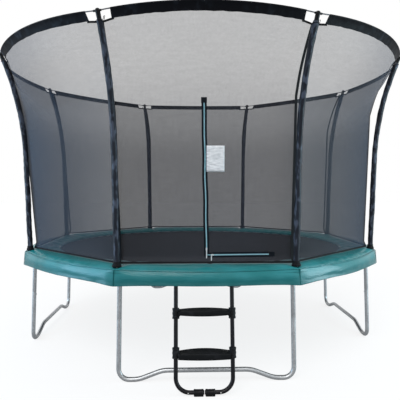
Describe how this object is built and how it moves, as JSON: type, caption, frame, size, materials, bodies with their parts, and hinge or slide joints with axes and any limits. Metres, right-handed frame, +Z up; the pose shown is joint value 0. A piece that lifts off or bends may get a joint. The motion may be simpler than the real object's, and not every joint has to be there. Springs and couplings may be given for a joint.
{
  "type": "trampoline",
  "caption": "Round garden trampoline on W-shaped legs, with a padded rim, outward-curving poles, a net with a zipped corner door and a hooked ladder.",
  "frame": {"origin": "on the ground under the middle of the mat", "axes": "+Z up; the door and ladder face -Y"},
  "size_m": [4.24, 4.24, 2.858],
  "materials": {
    "galvanised_tube": "bright galvanised steel tube",
    "spring_steel": "zinc-plated spring steel",
    "mat_cloth": "black woven polypropylene",
    "pad_cloth": "glossy teal PVC over foam",
    "sleeve_cloth": "shiny dark navy cloth over foam",
    "net_cloth": "fine black mesh",
    "cord": "black braided cord",
    "zip_cloth": "light-blue zip tape with black borders",
    "zip_metal": "pale plastic slider",
    "ladder_paint": "gloss black powder coat on steel tube",
    "black_plastic": "black moulded plastic"
  },
  "bodies": {
    "frame": {"ring_rail_1": "galvanised_tube", "ring_rail_2": "galvanised_tube", "ring_rail_3": "galvanised_tube", "ring_rail_4": "galvanised_tube", "ring_rail_5": "galvanised_tube", "ring_rail_6": "galvanised_tube", "ring_rail_7": "galvanised_tube", "ring_rail_8": "galvanised_tube", "ring_t_socket_1": "galvanised_tube", "ring_t_socket_2": "galvanised_tube", "ring_t_socket_3": "galvanised_tube", "ring_t_socket_4": "galvanised_tube", "ring_t_socket_5": "galvanised_tube", "ring_t_socket_6": "galvanised_tube", "ring_t_socket_7": "galvanised_tube", "ring_t_socket_8": "galvanised_tube", "w_base_1": "galvanised_tube", "w_base_2": "galvanised_tube", "w_base_3": "galvanised_tube", "w_base_4": "galvanised_tube", "leg_upright_1": "galvanised_tube", "leg_upright_2": "galvanised_tube", "leg_upright_3": "galvanised_tube", "leg_upright_4": "galvanised_tube", "leg_upright_5": "galvanised_tube", "leg_upright_6": "galvanised_tube", "leg_upright_7": "galvanised_tube", "leg_upright_8": "galvanised_tube", "pole_1": "galvanised_tube", "pole_2": "galvanised_tube", "pole_3": "galvanised_tube", "pole_4": "galvanised_tube", "pole_5": "galvanised_tube", "pole_6": "galvanised_tube", "pole_7": "galvanised_tube", "pole_8": "galvanised_tube", "pole_sleeve_1": "sleeve_cloth", "pole_sleeve_2": "sleeve_cloth", "pole_sleeve_3": "sleeve_cloth", "pole_sleeve_4": "sleeve_cloth", "pole_sleeve_5": "sleeve_cloth", "pole_sleeve_6": "sleeve_cloth", "pole_sleeve_7": "sleeve_cloth", "pole_sleeve_8": "sleeve_cloth", "springs": "spring_steel", "safety_pad": "pad_cloth", "top_rim": "galvanised_tube", "net_enclosure": "net_cloth", "net_hem_cord": "cord", "zip_tape": "zip_cloth"},
    "mat": {"jump_mat": "mat_cloth"},
    "door": {"door_flap": "net_cloth"},
    "slider_vertical": {"zip_slider_vertical": "zip_metal"},
    "slider_horizontal": {"zip_slider_horizontal": "zip_metal"},
    "ladder": {"ladder_rail_left": "ladder_paint", "ladder_rail_right": "ladder_paint", "ladder_step_upper": "black_plastic", "ladder_step_lower": "black_plastic", "ladder_foot_left": "black_plastic", "ladder_foot_right": "black_plastic"}
  },
  "joints": [
    {"name": "mat_bounce", "type": "slide", "parent": "frame", "child": "mat", "axis": [0, 0, 1], "range_m": [-0.15, 0], "stiffness_N_per_m": 6000, "springref_m": 0.08, "deforming": ["springs"]},
    {"name": "ladder_swing", "type": "hinge", "parent": "frame", "child": "ladder", "pos_m": [-0.03, -1.79504, 0.87], "axis": [-1, 0, 0], "range_deg": [0, 7]},
    {"name": "door_flap_swing", "type": "hinge", "parent": "frame", "child": "door", "pos_m": [-0.024, -1.704, 2.258], "axis": [0.3969, 0.0299, -0.9174], "range_deg": [0, 110]},
    {"name": "zip_slider_vertical_run", "type": "slide", "parent": "frame", "child": "slider_vertical", "axis": [-0.0088, -0.0325, 0.9994], "range_m": [0, 1.18]},
    {"name": "zip_slider_horizontal_run", "type": "slide", "parent": "frame", "child": "slider_horizontal", "axis": [1, -0.0002, 0.0076], "range_m": [0, 0.45]}
  ]
}
